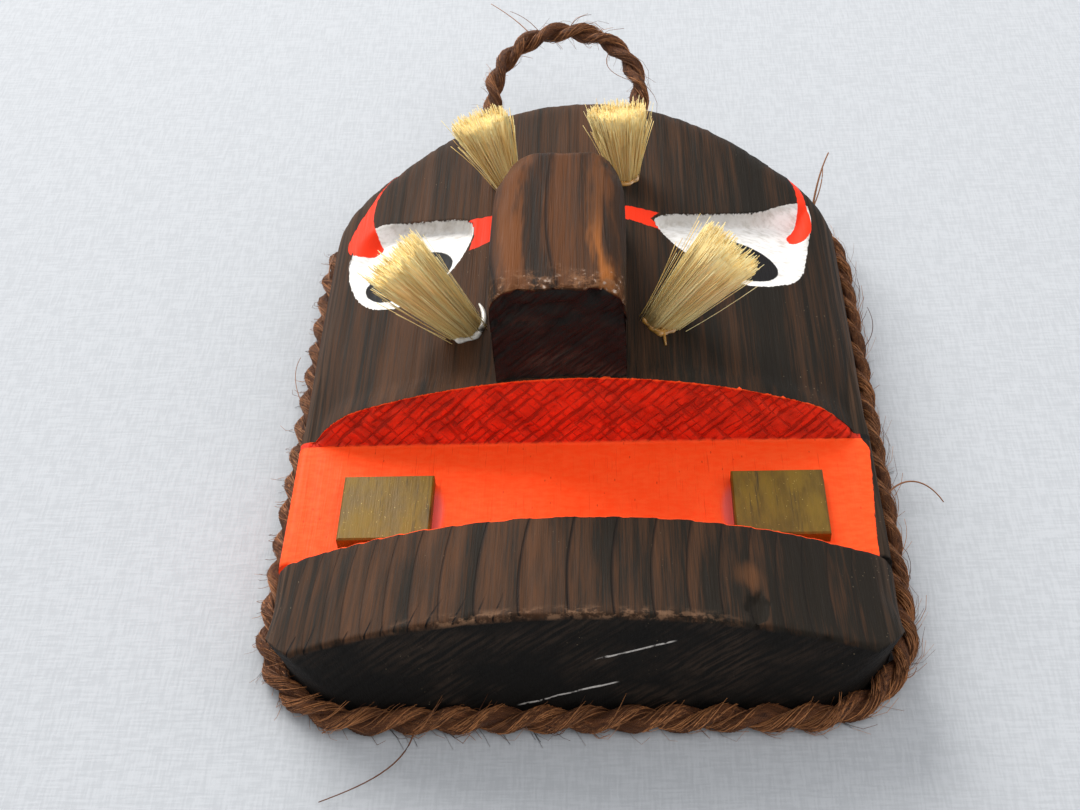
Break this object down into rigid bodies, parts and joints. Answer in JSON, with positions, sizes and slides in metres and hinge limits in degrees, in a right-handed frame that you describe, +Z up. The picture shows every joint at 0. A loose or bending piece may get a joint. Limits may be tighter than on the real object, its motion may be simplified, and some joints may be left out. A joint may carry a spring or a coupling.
{
  "type": "wall mask",
  "caption": "Domed wooden ogre-style wall mask with a saw-cut mouth, block nose, gold teeth, fibre tufts, a rope edge and a rope loop to hang it by.",
  "frame": {"origin": "middle of the flat back, half way up the plank", "axes": "+Z up to the forehead, -Y the way the face looks, +Y into the wall, +X to the right of someone facing it"},
  "size_m": [0.1648, 0.072, 0.262],
  "materials": {
    "charred_cedar": "charred and brushed, with red and white paint on the carved parts",
    "brown_cedar": "lightly charred and brushed",
    "dowel_wood": "plain",
    "gold_paint": "metallic gold paint on wood",
    "straw_fibre": "loose straw-coloured plant fibre",
    "dried_glue": "dried clear and white glue",
    "palm_rope": "hairy twisted palm-fibre rope",
    "brad_steel": "plain"
  },
  "bodies": {
    "mask": {"face_board": "charred_cedar", "nose_block": "brown_cedar", "nose_dowels": "dowel_wood", "tooth_left": "gold_paint", "tooth_right": "gold_paint", "brow_tuft_left": "straw_fibre", "brow_tuft_right": "straw_fibre", "whisker_tuft_left": "straw_fibre", "whisker_tuft_right": "straw_fibre", "tuft_glue_beads": "dried_glue", "rope_border": "palm_rope", "loop_tails": "palm_rope", "loop_brads": "brad_steel"},
    "loop": {"hanging_loop": "palm_rope"}
  },
  "joints": [
    {"name": "loop_swing", "type": "hinge", "parent": "mask", "child": "loop", "pos_m": [-0.00575, -0.012, 0.107], "axis": [1, 0, 0], "range_deg": [-36, 60]}
  ]
}
